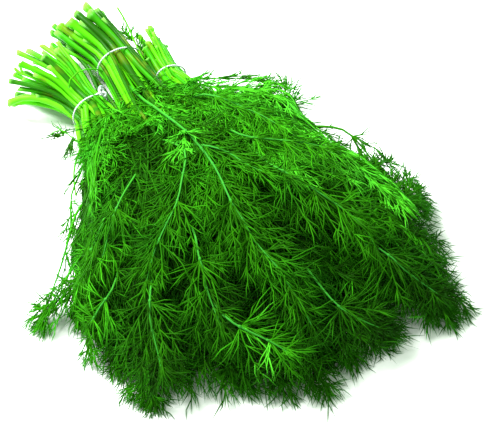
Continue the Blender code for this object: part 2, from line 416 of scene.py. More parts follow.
def tube_mesh(name, strands, level, band):
    """Mesh of many tapering strands. Its map holds tone across and length along."""
    counts = [len(points) for points, radii, tone in strands]
    places = all_points(strands)
    curve = bpy.data.curves.new(name, "CURVE")
    curve.dimensions = "3D"
    curve.bevel_depth = MM
    curve.bevel_resolution = level
    around = 4 + 2 * level
    across = []
    along = []
    first = 0
    for (points, radii, tone), count in zip(strands, counts):
        spline = curve.splines.new("POLY")
        spline.points.add(count - 1)
        mine = np.ones((count, 4))
        mine[:, :3] = places[first:first + count] * MM
        first += count
        spline.points.foreach_set("co", mine.ravel())
        spline.points.foreach_set("radius", radii)
        spline.use_smooth = True
        shade = band[0] + (band[1] - band[0]) * min(max(tone, 0.02), 0.98)
        share = np.linspace(0.01, 0.99, count)
        across.append(shade + np.tile(np.arange(around) * 0.0012, count))
        along.append(np.repeat(share, around))
    holder = placed(name, curve)
    depsgraph = bpy.context.evaluated_depsgraph_get()
    mesh = bpy.data.meshes.new_from_object(holder.evaluated_get(depsgraph))
    bpy.data.objects.remove(holder)
    bpy.data.curves.remove(curve)
    while mesh.uv_layers:
        mesh.uv_layers.remove(mesh.uv_layers[0])
    layer = mesh.uv_layers.new(name="OFBake")
    corners = np.empty(len(mesh.loops), int)
    mesh.loops.foreach_get("vertex_index", corners)
    spots = np.stack([np.concatenate(across)[corners], np.concatenate(along)[corners]], 1)
    layer.data.foreach_set("uv", spots.ravel().astype(np.float32))
    return mesh, around


def rib_stalk(mesh, around, strands, rng):
    """Presses shallow lengthwise grooves between the ribs, and slants the knife's cuts."""
    places = np.empty(len(mesh.vertices) * 3, np.float32)
    mesh.vertices.foreach_get("co", places)
    places = places.reshape(-1, 3)
    centres = np.repeat(all_points(strands).astype(np.float32) * MM, around, axis=0)
    sink = np.where(np.arange(len(places)) % 2 == 0, 1.0, 1.0 - 2.0 * RIB_DEPTH)
    places = centres + (places - centres) * sink[:, None].astype(np.float32)
    first = 0
    for points, radii, tone in strands:
        ring = slice(first, first + around)
        course = np.array(tuple((points[1] - points[0]).normalized()), np.float32)
        lean = np.array([rng.uniform(-1, 1) for axis in range(3)], np.float32)
        lean -= course * lean.dot(course)
        lean *= rng.uniform(0.1, 0.75) / max(np.linalg.norm(lean), 0.01)
        places[ring] += ((places[ring] - centres[ring]) @ lean)[:, None] * course
        first += around * len(points)
    mesh.vertices.foreach_set("co", places.ravel())


def close_ends(shape, pith):
    """Closes open ends, and sinks the pale pith a little where the knife went through."""
    layer = shape.loops.layers.uv["OFBake"]
    rims = [edge for edge in shape.edges if edge.is_boundary]
    filled = bmesh.ops.holes_fill(shape, edges=rims, sides=0)["faces"]
    for face in filled:
        for loop in face.loops:
            other = [near for near in loop.vert.link_loops if near.face not in filled]
            loop[layer].uv = other[0][layer].uv if other else (0.0, 0.0)
    wide = [face for face in filled if len(face.verts) > 8]
    if pith and wide:
        for face in wide:
            face.smooth = False
            size = math.sqrt(face.calc_area() / math.pi)
            inner = bmesh.ops.inset_individual(shape, faces=[face], thickness=size * 0.3)
            bmesh.ops.inset_individual(shape, faces=[face], thickness=size * 0.12,
                                       depth=-size * 0.22)
            for ring in inner["faces"]:
                ring.smooth = False


def join_shapes(name, parts):
    """One closed mesh from the strand meshes of a sprig."""
    shape = bmesh.new()
    for slot_index, mesh, pith in parts:
        part = bmesh.new()
        part.from_mesh(mesh)
        bmesh.ops.remove_doubles(part, verts=part.verts, dist=0.000002)
        close_ends(part, pith)
        for face in part.faces:
            face.material_index = slot_index
        part.to_mesh(mesh)
        part.free()
        shape.from_mesh(mesh)
        bpy.data.meshes.remove(mesh)
    joined = bpy.data.meshes.new(name)
    shape.to_mesh(joined)
    shape.free()
    return joined


class Skin:
    """A material under making: its nodes, its links and its shader."""

    def __init__(self, name):
        self.material = bpy.data.materials.new(name)
        self.material.use_nodes = True
        self.nodes = self.material.node_tree.nodes
        self.links = self.material.node_tree.links
        self.shader = self.nodes["Principled BSDF"]

    def strand_map(self):
        node = self.nodes.new("ShaderNodeUVMap")
        node.uv_map = "OFBake"
        return node.outputs["UV"]

    def tone_and_length(self, strand_map):
        """The map of a strand holds its tone across and the way along it upwards."""
        split = self.nodes.new("ShaderNodeSeparateXYZ")
        self.links.new(strand_map, split.inputs["Vector"])
        return split.outputs["X"], split.outputs["Y"]

    def object_places(self):
        return self.nodes.new("ShaderNodeTexCoord").outputs["Object"]

    def noise(self, places, scale, detail, stretch=None):
        """Noise on a set of places, which may be stretched first."""
        if stretch:
            mapping = self.nodes.new("ShaderNodeMapping")
            mapping.inputs["Scale"].default_value = stretch
            self.links.new(places, mapping.inputs["Vector"])
            places = mapping.outputs["Vector"]
        node = self.nodes.new("ShaderNodeTexNoise")
        node.inputs["Scale"].default_value = scale
        node.inputs["Detail"].default_value = detail
        self.links.new(places, node.inputs["Vector"])
        return node.outputs["Fac"]

    def ranged(self, value, low, high, to_low=0.0, to_high=1.0):
        """A value stretched from one range to another, and kept inside it."""
        node = self.nodes.new("ShaderNodeMapRange")
        for socket, number in (("From Min", low), ("From Max", high),
                               ("To Min", to_low), ("To Max", to_high)):
            node.inputs[socket].default_value = number
        self.links.new(value, node.inputs["Value"])
        return node.outputs["Result"]

    def ramped(self, value, stops):
        """A value turned into a colour by (place, colour) stops."""
        ramp = self.nodes.new("ShaderNodeValToRGB")
        elements = ramp.color_ramp.elements
        while len(elements) < len(stops):
            elements.new(0.5)
        for element, (place, colour) in zip(elements, stops):
            element.position = place
            element.color = (*colour, 1.0)
        self.links.new(value, ramp.inputs["Fac"])
        return ramp.outputs["Color"]

    def mixed(self, share, first, second, blend="MIX"):
        """Two colours mixed, or the first multiplied by the second. Either may be fixed."""
        node = self.nodes.new("ShaderNodeMix")
        node.data_type = "RGBA"
        node.blend_type = blend
        node.clamp_result = blend == "MULTIPLY"
        self.links.new(share, node.inputs[0])
        for socket, colour in ((6, first), (7, second)):
            if isinstance(colour, tuple):
                node.inputs[socket].default_value = (*colour, 1.0)
            else:
                self.links.new(colour, node.inputs[socket])
        return node.outputs[2]

    def finish(self, colour, roughness, height, strength, distance):
        """Joins colour, roughness and bump to the shader."""
        bump = self.nodes.new("ShaderNodeBump")
        bump.inputs["Strength"].default_value = strength
        bump.inputs["Distance"].default_value = distance
        self.links.new(height, bump.inputs["Height"])
        self.links.new(colour, self.shader.inputs["Base Color"])
        self.links.new(roughness, self.shader.inputs["Roughness"])
        self.links.new(bump.outputs["Normal"], self.shader.inputs["Normal"])
        return self.material


def leaf_material():
    """Leaf threads: tone across the map runs from deep green to bright green, with painted light
    and shade by place in the heap as well as random tone.
    """
    skin = Skin("dill leaf threads")
    skin.shader.inputs["Specular IOR Level"].default_value = 0.02
    tone, along = skin.tone_and_length(skin.strand_map())
    # Low tones here carry painted shade and painted light as well as the leaf's own tone
    painted_light_and_tone = skin.ramped(skin.ranged(tone, 0.0, 0.6),
                       ((0.0, (0.002, 0.008, 0.0004)), (0.25, (0.007, 0.04, 0.0008)),
                        (0.6, (0.02, 0.145, 0.0015)), (0.85, (0.038, 0.3, 0.005)),
                        (1.0, (0.1, 0.6, 0.03))))
    young_tips = skin.mixed(skin.ranged(along, 0.3, 1.0, 0.0, 0.22), painted_light_and_tone, (0.045, 0.4, 0.01))
    places = skin.object_places()
    patch = skin.noise(places, 34.0, 1.0)
    bluish = skin.mixed(skin.ranged(patch, 0.5, 0.72, 0.0, 0.4), young_tips, (0.6, 0.92, 2.0),
                        "MULTIPLY")
    # The pale waxy ribs have the highest tones
    rib_skin = skin.mixed(skin.ranged(along, 0.12, 0.5), (0.016, 0.155, 0.011),
                          (0.011, 0.115, 0.021))
    colour = skin.mixed(skin.ranged(tone, 0.575, 0.595), bluish, rib_skin)
    satin = skin.ranged(patch, 0.3, 0.7, 0.42, 0.58)
    return skin.finish(colour, satin, skin.noise(places, 2200.0, 1.0), 0.25, 0.0001)


def stalk_material():
    """Stalks: fresh yellow-green skin with fine lengthwise streaks, paler at the cut."""
    skin = Skin("dill stalk skin")
    skin.shader.inputs["Specular IOR Level"].default_value = 0.06
    uv = skin.strand_map()
    tone, along = skin.tone_and_length(uv)
    streak = skin.noise(uv, 1.0, 3.0, stretch=(260.0, 5.0, 1.0))
    toned = skin.ramped(skin.ranged(tone, 0.62, 1.0),
                        ((0.0, (0.01, 0.06, 0.003)), (0.18, (0.02, 0.16, 0.004)),
                         (0.4, (0.035, 0.34, 0.004)), (0.7, (0.085, 0.58, 0.005)),
                         (1.0, (0.19, 0.76, 0.03))))
    bruise = skin.noise(uv, 1.0, 2.0, stretch=(30.0, 6.0, 1.0))
    bruised = skin.mixed(skin.ranged(bruise, 0.55, 0.72, 0.0, 0.8), toned, (0.13, 0.2, 0.006))
    streaked = skin.mixed(skin.ranged(streak, 0.42, 0.7), bruised, (0.7, 0.6, 0.4), "MULTIPLY")
    colour = skin.mixed(skin.ranged(along, 0.01, 0.05, 0.6, 0.0), streaked, (0.27, 0.72, 0.11))
    satin = skin.ranged(streak, 0.3, 0.7, 0.24, 0.38)
    return skin.finish(colour, satin, streak, 0.35, 0.0003)


def level_way(degrees):
    turn = math.radians(degrees)
    return Vector((math.cos(turn), math.sin(turn), 0.0))


def bundle_way(bundle):
    """The level way in which a bundle's stalks run, from their cut ends to the leaves."""
    return level_way(bundle["heading"])


def surface_facing(point, rng, loose):
    """Which way the flat of a leaf faces where it lies on the heap."""
    angle, share, level = heap_place(point)
    middle = sum(FAN_SIDES) / 2.0
    turn = math.radians(angle)
    slope = max(0.0, share - 0.5) * 1.6 - max(0.0, 0.25 - share) * 1.5
    lean = (angle - middle) / 36.0
    lean = lean * abs(lean)
    out = Vector((math.cos(turn) * slope - math.sin(turn) * lean * 0.9,
                  math.sin(turn) * slope + math.cos(turn) * lean * 0.9, 1.0))
    out += Vector((rng.uniform(-loose, loose), rng.uniform(-loose, loose), 0.0))
    return out.normalized()


def leaf_tone(bundle, level, share, angle, rng):
    """Painted light and shade: leaves higher in the heap and out to its sides are toned brighter,
    those nearer the tips a little darker.
    """
    # Painted light by side and height in the heap, on top of random tone
    toned = 0.022 * max(angle, 0.0) * (1.15 - share) + 0.006 * max(-angle - 8.0, 0.0)
    toned += 0.12 * min(level, 1.0) - 0.06 * share
    return 0.47 + bundle["tone"] + toned + rng.uniform(-0.2, 0.22)


def sprig_path(node, bundle, rng):
    """Line of a sprig's stalk: along its solid, a little wayward at the cut end."""
    line = solid_line(node, 34)
    first = (line[1] - line[0]).normalized()
    line.insert(0, line[0] + first * rng.uniform(*bundle["trim"]))
    line[1] = line[0].lerp(line[2], 0.5)
    tie = Vector(bundle["tie"])
    swing = Vector(bundle["swing"])
    sway = Vector((0.0, rng.uniform(-1, 1), rng.uniform(-0.6, 0.9)))
    curl = Vector((0.0, rng.uniform(-1, 1), rng.uniform(-1, 0.6)))
    path = []
    for point in line:
        before = (tie - point).dot(bundle_way(bundle))
        away = max(0.0, before - 4.0) / 50.0
        point = point + Vector(bundle["shift"]) * max(0.0, min(1.0, 1.0 + before / 40.0))
        path.append(point + sway * bundle["sway"] * away ** 1.3 + curl * 2.6 * away ** 3
                    + swing * away)
    path = curve_through(path, 6.0)
    tie_index = nearest_index(path, tie)
    for round_number in range(SMOOTHING_ROUNDS):
        eased_path = list(path)
        for index in range(tie_index + 2, min(tie_index + 18, len(path) - 1)):
            eased_path[index] = (path[index - 1] + path[index] * 2.0 + path[index + 1]) / 4.0
        path = eased_path
    settled = settle(np.array([tuple(point) for point in path]), -0.04, 6.0)[0]
    return [Vector(place) for place in settled]


def grow_sprig(node, bundle, path, extra_leaves, loose_stems, rng):
    """One sprig's visible piece along its stalk line: stalk, side stalks, leaves."""
    tie = Vector(bundle["tie"])
    marks = lengths_along(path)
    total = marks[-1]
    tie_mark = nearest_index(path, tie)
    bound = marks[tie_mark]
    thick = bundle["thick"] * rng.uniform(0.8, 1.2)
    splay = rng.uniform(0.05, 0.45)
    radii = []
    for mark in marks:
        fall = max(0.0, (mark - bound - 15.0) / (total - bound - 15.0))
        flare = 1.0 + splay * max(0.0, 1.0 - mark / 7.0) ** 1.5
        radii.append(thick * flare * (1.0 - 0.85 * fall ** 0.6))
    radii[-1] = 0.0
    stalk_tone = rng.choice((0.2, 0.5, 0.65, 0.8, 0.95)) + rng.uniform(-0.1, 0.05)
    stalk_tone += bundle["stalk_tone"]
    crown_start = max(bound + 30.0, total - CROWN_LENGTH)
    stalk_end = next(index for index, mark in enumerate(marks) if mark >= crown_start) + 1
    stalks = [(tuple(path[:stalk_end]), tuple(radii[:stalk_end - 1]) + (0.0,), stalk_tone)]
    growth = {"threads": [], "ribs": []}
    row_level = heap_place(path[len(path) * 2 // 3])[2]

    # Leaves on top, leaves that stick out at the edge and small ones between the bundles
    for leaf_points, width, tone, bare, ways in extra_leaves:
        nearest = nearest_index(path, leaf_points[0])
        start = nearest
        while start > 1 and marks[nearest] - marks[start] < 20.0:
            start -= 1
        joins = (path[nearest] - leaf_points[0]).length < 30.0
        first = leaf_points[0]
        below = first - (leaf_points[1] - first).normalized() * 15.0 - UP * 10.0
        route = [path[start] if joins else below] + [Vector(point) for point in leaf_points]
        route = curve_through(route, 7.0)
        middle = route[len(route) * 2 // 3]
        led = (route[0] - Vector(leaf_points[0])).length + bare
        lay = add_settled_leaf if "pale" in ways else add_leaf
        lay(growth, route, surface_facing(middle, rng, 0.15), width, tone, rng,
            bare=min(led / lengths_along(route)[-1], 0.6), **ways)

    # Young leaves close after the tie
    for young in range(bundle["young"] if row_level > 0.35 else 1):
        spot, course = place_on(path, marks, bound + rng.uniform(*bundle["young_at"]))
        side = UP.cross(course).normalized()
        turned = course + side * rng.uniform(*bundle["young_way"]) + UP * rng.uniform(0.1, 0.6)
        turned.normalize()
        reach = rng.uniform(12.0, 26.0)
        route = curve_through([spot, spot + turned * reach * 0.5,
                               spot + turned * reach * 0.9 + course * 5.0,
                               spot + turned * reach + course * 14.0 - UP * 3.0], 5.0)
        add_leaf(growth, route, surface_facing(spot, rng, 0.5), rng.uniform(12.0, 22.0),
                 rng.uniform(0.6, 1.05), rng, bare=0.15, thick=0.6, gap=14.0, wave=1.2,
                 fullness=0.75)

    # Side leaves, left and right by turns. The first few have a side stalk down to the cut.
    petioles = []
    across = (path[tie_mark] - tie).dot(UP.cross(bundle_way(bundle)))
    bare_length = bundle["leafless"] + bundle["slant"] * across
    leaf_place = bound + bare_length + rng.uniform(-8.0, 12.0)
    way = rng.choice((-1.0, 1.0))
    number = 0
    while leaf_place < total - LAST_SIDE_LEAF:
        spot, course = place_on(path, marks, leaf_place)
        at_angle, at_share, at_level = heap_place(spot)
        at_share = max(at_share, 0.0)
        to_angle = max(at_angle + way * rng.uniform(3.0, 12.0), FAN_SIDES[0] + 2.0)
        to_angle = min(to_angle, FAN_SIDES[1] - 2.0)
        to_share = min(at_share + rng.uniform(0.36, 0.56), rng.uniform(0.9, 1.0))
        lift = 1.02 if row_level > 0.7 else row_level + rng.uniform(-0.1, 0.12)
        end = heap_point(to_angle, to_share, lift)
        middle_place = heap_point(at_angle * 0.4 + to_angle * 0.6, at_share * 0.5 + to_share * 0.5,
                                  (max(at_level, 0.1) + lift) / 2.0 + 0.06)
        leaf = curve_through([spot, spot + course * 8.0 + UP, middle_place, end], 7.0)
        rib_number = len(growth["ribs"])
        add_settled_leaf(growth, leaf, surface_facing(middle_place, rng, 0.35),
                         rng.uniform(38.0, 52.0),
                         leaf_tone(bundle, row_level, at_share, to_angle, rng), rng,
                         fullness=shown(middle_place), thick=rng.uniform(0.8, 1.1))
        if number < bundle["petioles"]:
            petioles.append((leaf_place, growth["ribs"][rib_number][0]))
        way = -way
        number += 1
        leaf_place += rng.uniform(34.0, 50.0)

    # The crown is the leaf that the stalk itself ends in
    crown = [point for point, mark in zip(path, marks) if mark >= crown_start]
    crown_angle = heap_place(crown[len(crown) // 2])[0]
    add_settled_leaf(growth, crown, surface_facing(crown[len(crown) // 2], rng, 0.25), 46.0,
                     leaf_tone(bundle, row_level, 0.7, crown_angle, rng), rng, bare=0.04)

    for leaf_mark, leaf in petioles:
        swing = rng.uniform(0.0, 2.0 * math.pi)
        reach = bundle["spacing"] * rng.uniform(0.5, 0.62)
        side_path = []
        begin = rng.uniform(-1.0, 14.0)
        splayed = rng.uniform(1.0, 6.0)
        for step in range(SIDE_STALK_STEPS + 1):
            share = step / SIDE_STALK_STEPS
            mark = begin + (leaf_mark - begin) * share
            spot, course = place_on(path, marks, mark)
            spot = spot + course * min(mark, 0.0)
            side = UP.cross(course).normalized()
            out = side * math.cos(swing + share) + course.cross(side) * math.sin(swing + share)
            free = max(0.0, bound - mark) / 50.0
            apart = reach * min(1.0, 3.0 - 3.0 * share) + splayed * free ** 1.5
            side_path.append(spot + out * apart)
        slim = rng.uniform(0.75, 1.35)
        side_path = side_path[:-1] + [leaf[1].copy(), leaf[min(3, len(leaf) - 1)].copy()]
        radii = [slim * 1.25, slim * 1.05] + [slim] * (SIDE_STALK_STEPS - 4)
        radii += [slim * 0.9, 0.7, 0.0]
        side_tone = rng.uniform(0.2, 0.9) + bundle["stalk_tone"]
        stalks.append((tuple(side_path), tuple(radii), side_tone))

    for stem_points, stem_radius, tone in loose_stems:
        route = curve_through([Vector(point) for point in stem_points], 5.0)
        slimmer = [stem_radius * (1.2 if index == 0 else 1.0 - 0.35 * index / len(route))
                   for index in range(len(route))]
        slimmer[-1] = 0.0
        stalks.append((tuple(route), tuple(slimmer), tone))

    stalks = rest_on_table(stalks)
    ribs = rest_on_table(clear_of_ties(growth["ribs"]))
    threads = rest_on_table(clear_of_ties(growth["threads"]))
    stalk_mesh, around = tube_mesh(node, stalks, STALK_SIDES_LEVEL, STALK_TONES)
    rib_stalk(stalk_mesh, around, stalks, rng)
    rib_mesh = tube_mesh(node, ribs, RIB_SIDES_LEVEL, RIB_TONES)[0]
    thread_mesh = tube_mesh(node, threads, THREAD_SIDES_LEVEL, THREAD_TONES)[0]
    return join_shapes(node + "_growth", [(0, stalk_mesh, True), (1, rib_mesh, False),
                                          (1, thread_mesh, False)])


def shown(point):
    """Share of the side branches worth growing: leaves deep in the heap have lost most."""
    angle, share, level = heap_place(point)
    deep = 0.12 < level < 0.66 and share < 0.75 and -27.0 < angle < 31.0
    return 0.4 if deep else 1.0


LEAF_SKIN = leaf_material()
STALK_SKIN = stalk_material()

BUNDLES = {
    "left": {"count": 19, "tie": (-85.7, -29.3, 15.0), "heading": 13.0, "sway": 4.0,
             "thick": 1.65, "tone": 0.04, "rows": (3, 4, 5, 4, 3), "spacing": 4.25,
             "stalk_radius": 1.75, "stalk_tone": 0.0, "knot": 57.0, "slip": 2.2,
             "trim": (-1.0, 6.0), "swing": (0.0, -2.5, -0.5), "shift": (0.0, 0.0, 0.0),
             "young": 2, "young_way": (0.0, 0.9), "young_at": (12.0, 44.0), "leafless": 23.0,
             "slant": -0.9, "petioles": 3},
    "middle": {"count": 19, "tie": (-108.7, 0.2, 17.5), "heading": 3.0, "sway": 3.0,
               "thick": 2.15, "tone": 0.0, "rows": (3, 4, 5, 4, 3), "spacing": 5.0,
               "stalk_radius": 2.0, "stalk_tone": -0.26, "knot": 318.0, "slip": 2.0,
               "trim": (-2.0, 4.0), "swing": (0.0, 0.0, 0.0), "shift": (0.0, 0.0, 0.0),
               "young": 2, "young_way": (-0.7, 0.7), "young_at": (24.0, 76.0), "leafless": 57.0,
               "slant": 0.0, "petioles": 2},
    "right": {"count": 14, "tie": (-86.3, 26.0, 13.5), "heading": -2.0, "sway": 2.6,
              "thick": 1.75, "tone": 0.03, "rows": (2, 3, 4, 3, 2), "spacing": 4.25,
              "stalk_radius": 1.75, "stalk_tone": -0.05, "knot": 330.0, "slip": 0.0,
              "trim": (-1.0, 5.0), "swing": (0.0, -4.5, 0.0), "shift": (0.0, -3.0, 0.0),
              "young": 2, "young_way": (-0.9, 0.3), "young_at": (6.0, 40.0), "leafless": 20.0,
              "slant": 0.0, "petioles": 2},
}

# Where each tie is: its centre, the way along the stalks, the way across, and its half width
TIE_PLACES = tuple((Vector(bundle["tie"]) + Vector(bundle["shift"]), bundle_way(bundle),
                    UP.cross(bundle_way(bundle)), bundle["spacing"] * 2.9)
                   for bundle in BUNDLES.values())

# Long leaves that lie on top of the pile: the line of each one's rib, how wide the leaf is, its
# tone, the gap between its side branches, how thick its rib is and how far it is bare.
# Separate helper scripts worked out the lines
TOP_LEAVES = (
    (((-92, -4, 22), (-62, -6, 34), (-36, -8, 50), (-5, -6, 61), (22, -6, 66), (40, -8, 68),
      (54, -10, 67), (65, -9, 64), (76, -9, 60), (92, -5, 55), (102, -3, 49), (112, -1, 43),
      (120, 0, 36), (127, 2, 29)), 46, 0.5, 19, 1.05, 78),
    (((8, -6, 63), (14, -2, 66), (24, 4, 68), (38, 9, 69), (48, 16, 69)), 34, 0.56, 17, 0.8, 4),
    (((9, -14, 64), (28, -25, 66), (40, -34, 65), (47, -43, 62), (55, -53, 58), (62, -60, 54),
      (70, -68, 45)), 38, 0.54, 17, 0.85, 18),
    (((61, -34, 60), (70, -37, 58), (76, -38, 55), (84, -40, 50), (95, -41, 43), (106, -41, 37)),
     34, 0.54, 16, 0.85, 12),
    (((41, 19, 68), (54, 28, 65), (64, 34, 62), (77, 42, 57), (87, 48, 51), (96, 50, 45),
      (104, 49, 40)), 42, 0.56, 18, 0.8, 8),
    (((-31, 18, 54), (-18, 24, 60), (-5, 28, 64), (7, 33, 66), (21, 39, 66)),
     34, 0.68, 17, 0.75, 8),
    (((15, 15, 68), (25, 27, 68), (35, 44, 66), (44, 55, 63)), 34, 0.7, 17, 0.75, 8),
    (((99, -38, 42), (109, -32, 39), (120, -23, 36), (132, -14, 30)), 32, 0.85, 14, 0.9, 10),
    (((58, -80, 42), (59, -88, 34), (59, -96, 26), (58, -108, 14)), 30, 0.72, 15, 0.8, 6),
    (((29, -75, 48), (32, -84, 41), (33, -91, 33), (33, -98, 21)), 30, 0.8, 14, 0.8, 6),
    (((20, -56, 60), (29, -66, 56), (38, -74, 50), (46, -82, 43)), 34, 0.56, 17, 0.75, 6),
    (((98, 52, 42), (111, 60, 34), (123, 69, 26), (133, 77, 19)), 34, 0.48, 16, 0.75, 6),
    (((113, 15, 40), (123, 21, 34), (131, 30, 27), (138, 41, 18)), 32, 0.45, 16, 0.75, 6),
    (((72, -65, 49), (83, -71, 42), (96, -74, 34), (110, -77, 24)), 34, 0.44, 17, 0.75, 6),
)
# Leaves that stick out of the pile: tip, heading in degrees, length and width. The table was
# written by separate helper scripts
EDGE_LEAVES = (
    (-50, 74, 20, 58, 46, 14), (-39, 80, 16, 50, 46, 14), (-39, 75, 38, 112, 34, 10),
    (-19, 71, 36, 114, 38, 10), (-12, 75, 34, 108, 38, 11), (33, 99, 28, 108, 38, 11),
    (50, 105, 24, 104, 40, 11), (63, 110, 20, 104, 46, 12), (71, 108, 16, 92, 42, 12),
    (18, 94, 12, 48, 36, 14), (38, 100, 12, 50, 36, 15), (69, 109, 8, 28, 52, 16),
    (86, 100, 8, 70, 40, 14), (96, 94, 8, 22, 56, 17), (114, 96, 4, 40, 44, 15),
    (129, 93, 3, 54, 40, 14), (142, 85, 3, 31, 40, 14), (135, 83, 6, 18, 56, 20),
    (132, 51, 3, 24, 40, 16), (145, -13, 3, 18, 40, 16), (132, -30, 3, 18, 36, 16),
    (116, -82, 2, -6, 38, 16), (109, -88, 2, -17, 38, 16), (104, -96, 2, -32, 36, 15),
    (38, -123, 3, -74, 42, 12), (135, 86, 5, 22, 56, 18), (140, 78, 5, 15, 56, 18),
    (128, 67, 7, 13, 52, 24), (136, 49, 5, 11, 56, 24), (137, 36, 5, 8, 56, 24),
    (142, 22, 5, 6, 56, 24), (135, 6, 7, 1, 52, 24), (150, -1, 5, -1, 56, 22),
    (140, -21, 5, -6, 58, 24), (126, -43, 6, -10, 54, 26), (119, -59, 7, -13, 52, 26),
    (116, -70, 5, -16, 52, 24), (117, -84, 4, -18, 56, 22), (90, -94, 4, -26, 56, 22),
    (75, -103, 5, -28, 56, 20), (53, -100, 8, -32, 52, 20), (41, -120, 4, -44, 60, 18),
    (0, -81, 12, -34, 44, 12), (-24, -64, 13, -34, 40, 10), (62, 112, 13, 97, 30, 26),
    (57, 113, 15, 104, 26, 22), (43, 113, 14, 111, 25, 22), (24, 109, 16, 120, 24, 18),
    (143, 85, 4, 20, 19, 26), (128, 90, 6, 38, 18, 28), (105, 94, 8, 61, 18, 30),
    (89, 99, 10, 74, 18, 28), (142, 24, 3, 31, 18, 34), (147, -10, 3, -6, 18, 34),
    (122, -51, 3, -1, 18, 28), (132, -33, 3, -2, 18, 30), (39, -125, 3, -67, 18, 20),
    (25, -118, 4, -97, 18, 18), (-58, 86, 14, 139, 18, 16), (-31, 89, 14, 94, 18, 26),
    (134, 50, 3, 61, 21, 30), (24, 110, 18, 123, 44, 12), (43, 116, 15, 110, 44, 13),
    (56, 120, 10, 93, 44, 13), (67, 112, 6, 72, 40, 13), (96, 108, 8, 52, 44, 14),
    (115, -87, 4, -23, 42, 14), (108, -94, 4, -38, 40, 11), (127, -38, 4, -10, 42, 13),
    (146, -5, 4, 5, 42, 13), (142, 27, 4, 20, 42, 13), (136, 51, 4, 22, 40, 12),
    (40, -123, 7, -63, 46, 12), (32, -109, 10, -75, 38, 11), (141, 91, 3, 9, 40, 12),
    (121, 100, 4, 33, 42, 13),
)

# Stems that lie loose beside the bundles: whose they are, their line, radius and tone. Most
# of the points come from separate helper scripts
# The darkest tones, 0.1 to 0.22, are painted shade on the stems that lie low in the gap between the
# bundles
LOOSE_STEMS = (
    ("left", 1, ((-111.4, -66.9, 14), (-107.9, -60, 18), (-102.4, -51.3, 18), (-93.1, -42.5, 15),
                 (-84.4, -38, 11), (-68.5, -42.5, 10), (-52.4, -44.8, 12)), 2.0, 0.85),
    ("left", 2, ((-115, -64, 8), (-110, -58, 12), (-102, -48.5, 12), (-94, -40.5, 10),
                 (-84, -37, 8), (-70, -42, 7), (-58, -46, 8)), 1.7, 0.7),
    ("left", 3, ((-128, -56, 17), (-121, -52, 17), (-110, -44, 16), (-98, -36, 14),
                 (-86, -32, 12)), 1.5, 0.6),
    ("left", 5, ((-129.1, -55, 20), (-124.8, -53.7, 20), (-120.7, -49.7, 19), (-112, -43, 17)),
                0.9, 0.75),
    ("left", 7, ((-131.5, -51, 20), (-126, -52.2, 20), (-121, -50.2, 19)), 0.9, 0.6),
    ("left", 8, ((-145.5, -20.5, 14), (-132.1, -18.2, 14), (-117.8, -15.8, 14),
                 (-104.6, -16.4, 12), (-91.2, -17.7, 10), (-76, -16, 9), (-58, -15, 9)),
                1.3, 0.12),
    ("left", 9, ((-144.2, -23.6, 9), (-129.7, -21.2, 9), (-114.5, -19.4, 9), (-100, -20.7, 9),
                 (-88, -23, 10)), 1.5, 0.2),
    ("left", 12, ((-139.8, -27.3, 18), (-126.5, -23.5, 18), (-113, -21.5, 18), (-99, -22.4, 18),
                  (-86, -24, 18)), 1.2, 0.3),
    ("left", 13, ((-141, -28, 12), (-127, -25.5, 12), (-112, -23.5, 12), (-97, -24, 12),
                  (-84, -26, 12)), 1.6, 0.14),
    ("left", 14, ((-137, -18.5, 5), (-124.3, -17.1, 5), (-110.2, -17.6, 6), (-97.5, -19.1, 7),
                  (-82, -19, 6), (-64, -18, 6)), 1.2, 0.1),
    ("left", 15, ((-114, -13, 7), (-100, -12.5, 7), (-88, -12, 7), (-70, -12, 7)), 1.4, 0.1),
    ("left", 16, ((-94.3, -36.2, 27), (-97, -34.1, 30), (-97.8, -28.5, 33), (-97.5, -23.7, 33),
                  (-98, -17.5, 30), (-99.2, -12.3, 24)), 0.5, 0.5),
    ("left", 4, ((-49, -43.5, 18), (-57.3, -44.6, 17), (-68.8, -46.2, 15), (-79.6, -49.5, 13),
                 (-80.5, -53.5, 12), (-80, -57.6, 10)), 0.45, 0.5),
    ("left", 4, ((-76, -48.2, 14), (-79.6, -49.5, 13), (-83.8, -50.3, 13)), 0.4, 0.5),
    ("left", 6, ((-59.6, -46.2, 14), (-51.6, -53, 13), (-42.6, -57.8, 12), (-29.6, -62.3, 12)),
                0.6, 0.6),
    ("middle", 1, ((-148.1, -23.5, 18), (-140.8, -20.4, 18), (-127.8, -14.8, 17),
                   (-116.8, -9.2, 15), (-102.4, -7, 13), (-89.1, -7, 12)), 1.9, 0.22),
    ("middle", 2, ((-148.1, -22.3, 24), (-140.5, -20.1, 23), (-126.9, -14.9, 21),
                   (-115.2, -9.1, 18), (-100, -6, 16), (-84, -6, 15), (-66, -7, 14)), 1.6, 0.3),
    ("middle", 4, ((-143, -17.5, 12), (-132, -14, 12), (-120, -10, 12), (-108, -8, 11),
                   (-92, -8, 10), (-76, -9, 9), (-58, -10, 9)), 1.8, 0.14),
    ("middle", 7, ((-143.3, 6.8, 26), (-132.2, 7.1, 25), (-118.9, 7, 24), (-108.3, 7.2, 23),
                   (-98.3, 7.4, 22), (-82.1, 7.2, 22)), 1.0, 0.5),
    ("middle", 12, ((-147.4, 18.8, 20), (-132.2, 17.2, 22), (-114.1, 14.2, 23),
                    (-103.1, 12.7, 23), (-92, 11.5, 24), (-73.7, 9.6, 26)), 0.6, 0.6),
    ("right", 1, ((-124, 21, 16), (-114.6, 21.5, 16), (-102.7, 21.8, 16), (-88, 22, 16)),
                 1.6, 0.75),
    ("right", 3, ((-124.6, 29.6, 18), (-115.4, 27.2, 17), (-106.6, 25.3, 16), (-94, 24.7, 16)),
                 1.7, 0.85),
    ("right", 5, ((-110.4, 33, 14), (-108.6, 29.3, 14), (-101, 27.5, 14), (-92, 27, 13)),
                 0.9, 0.6),
)
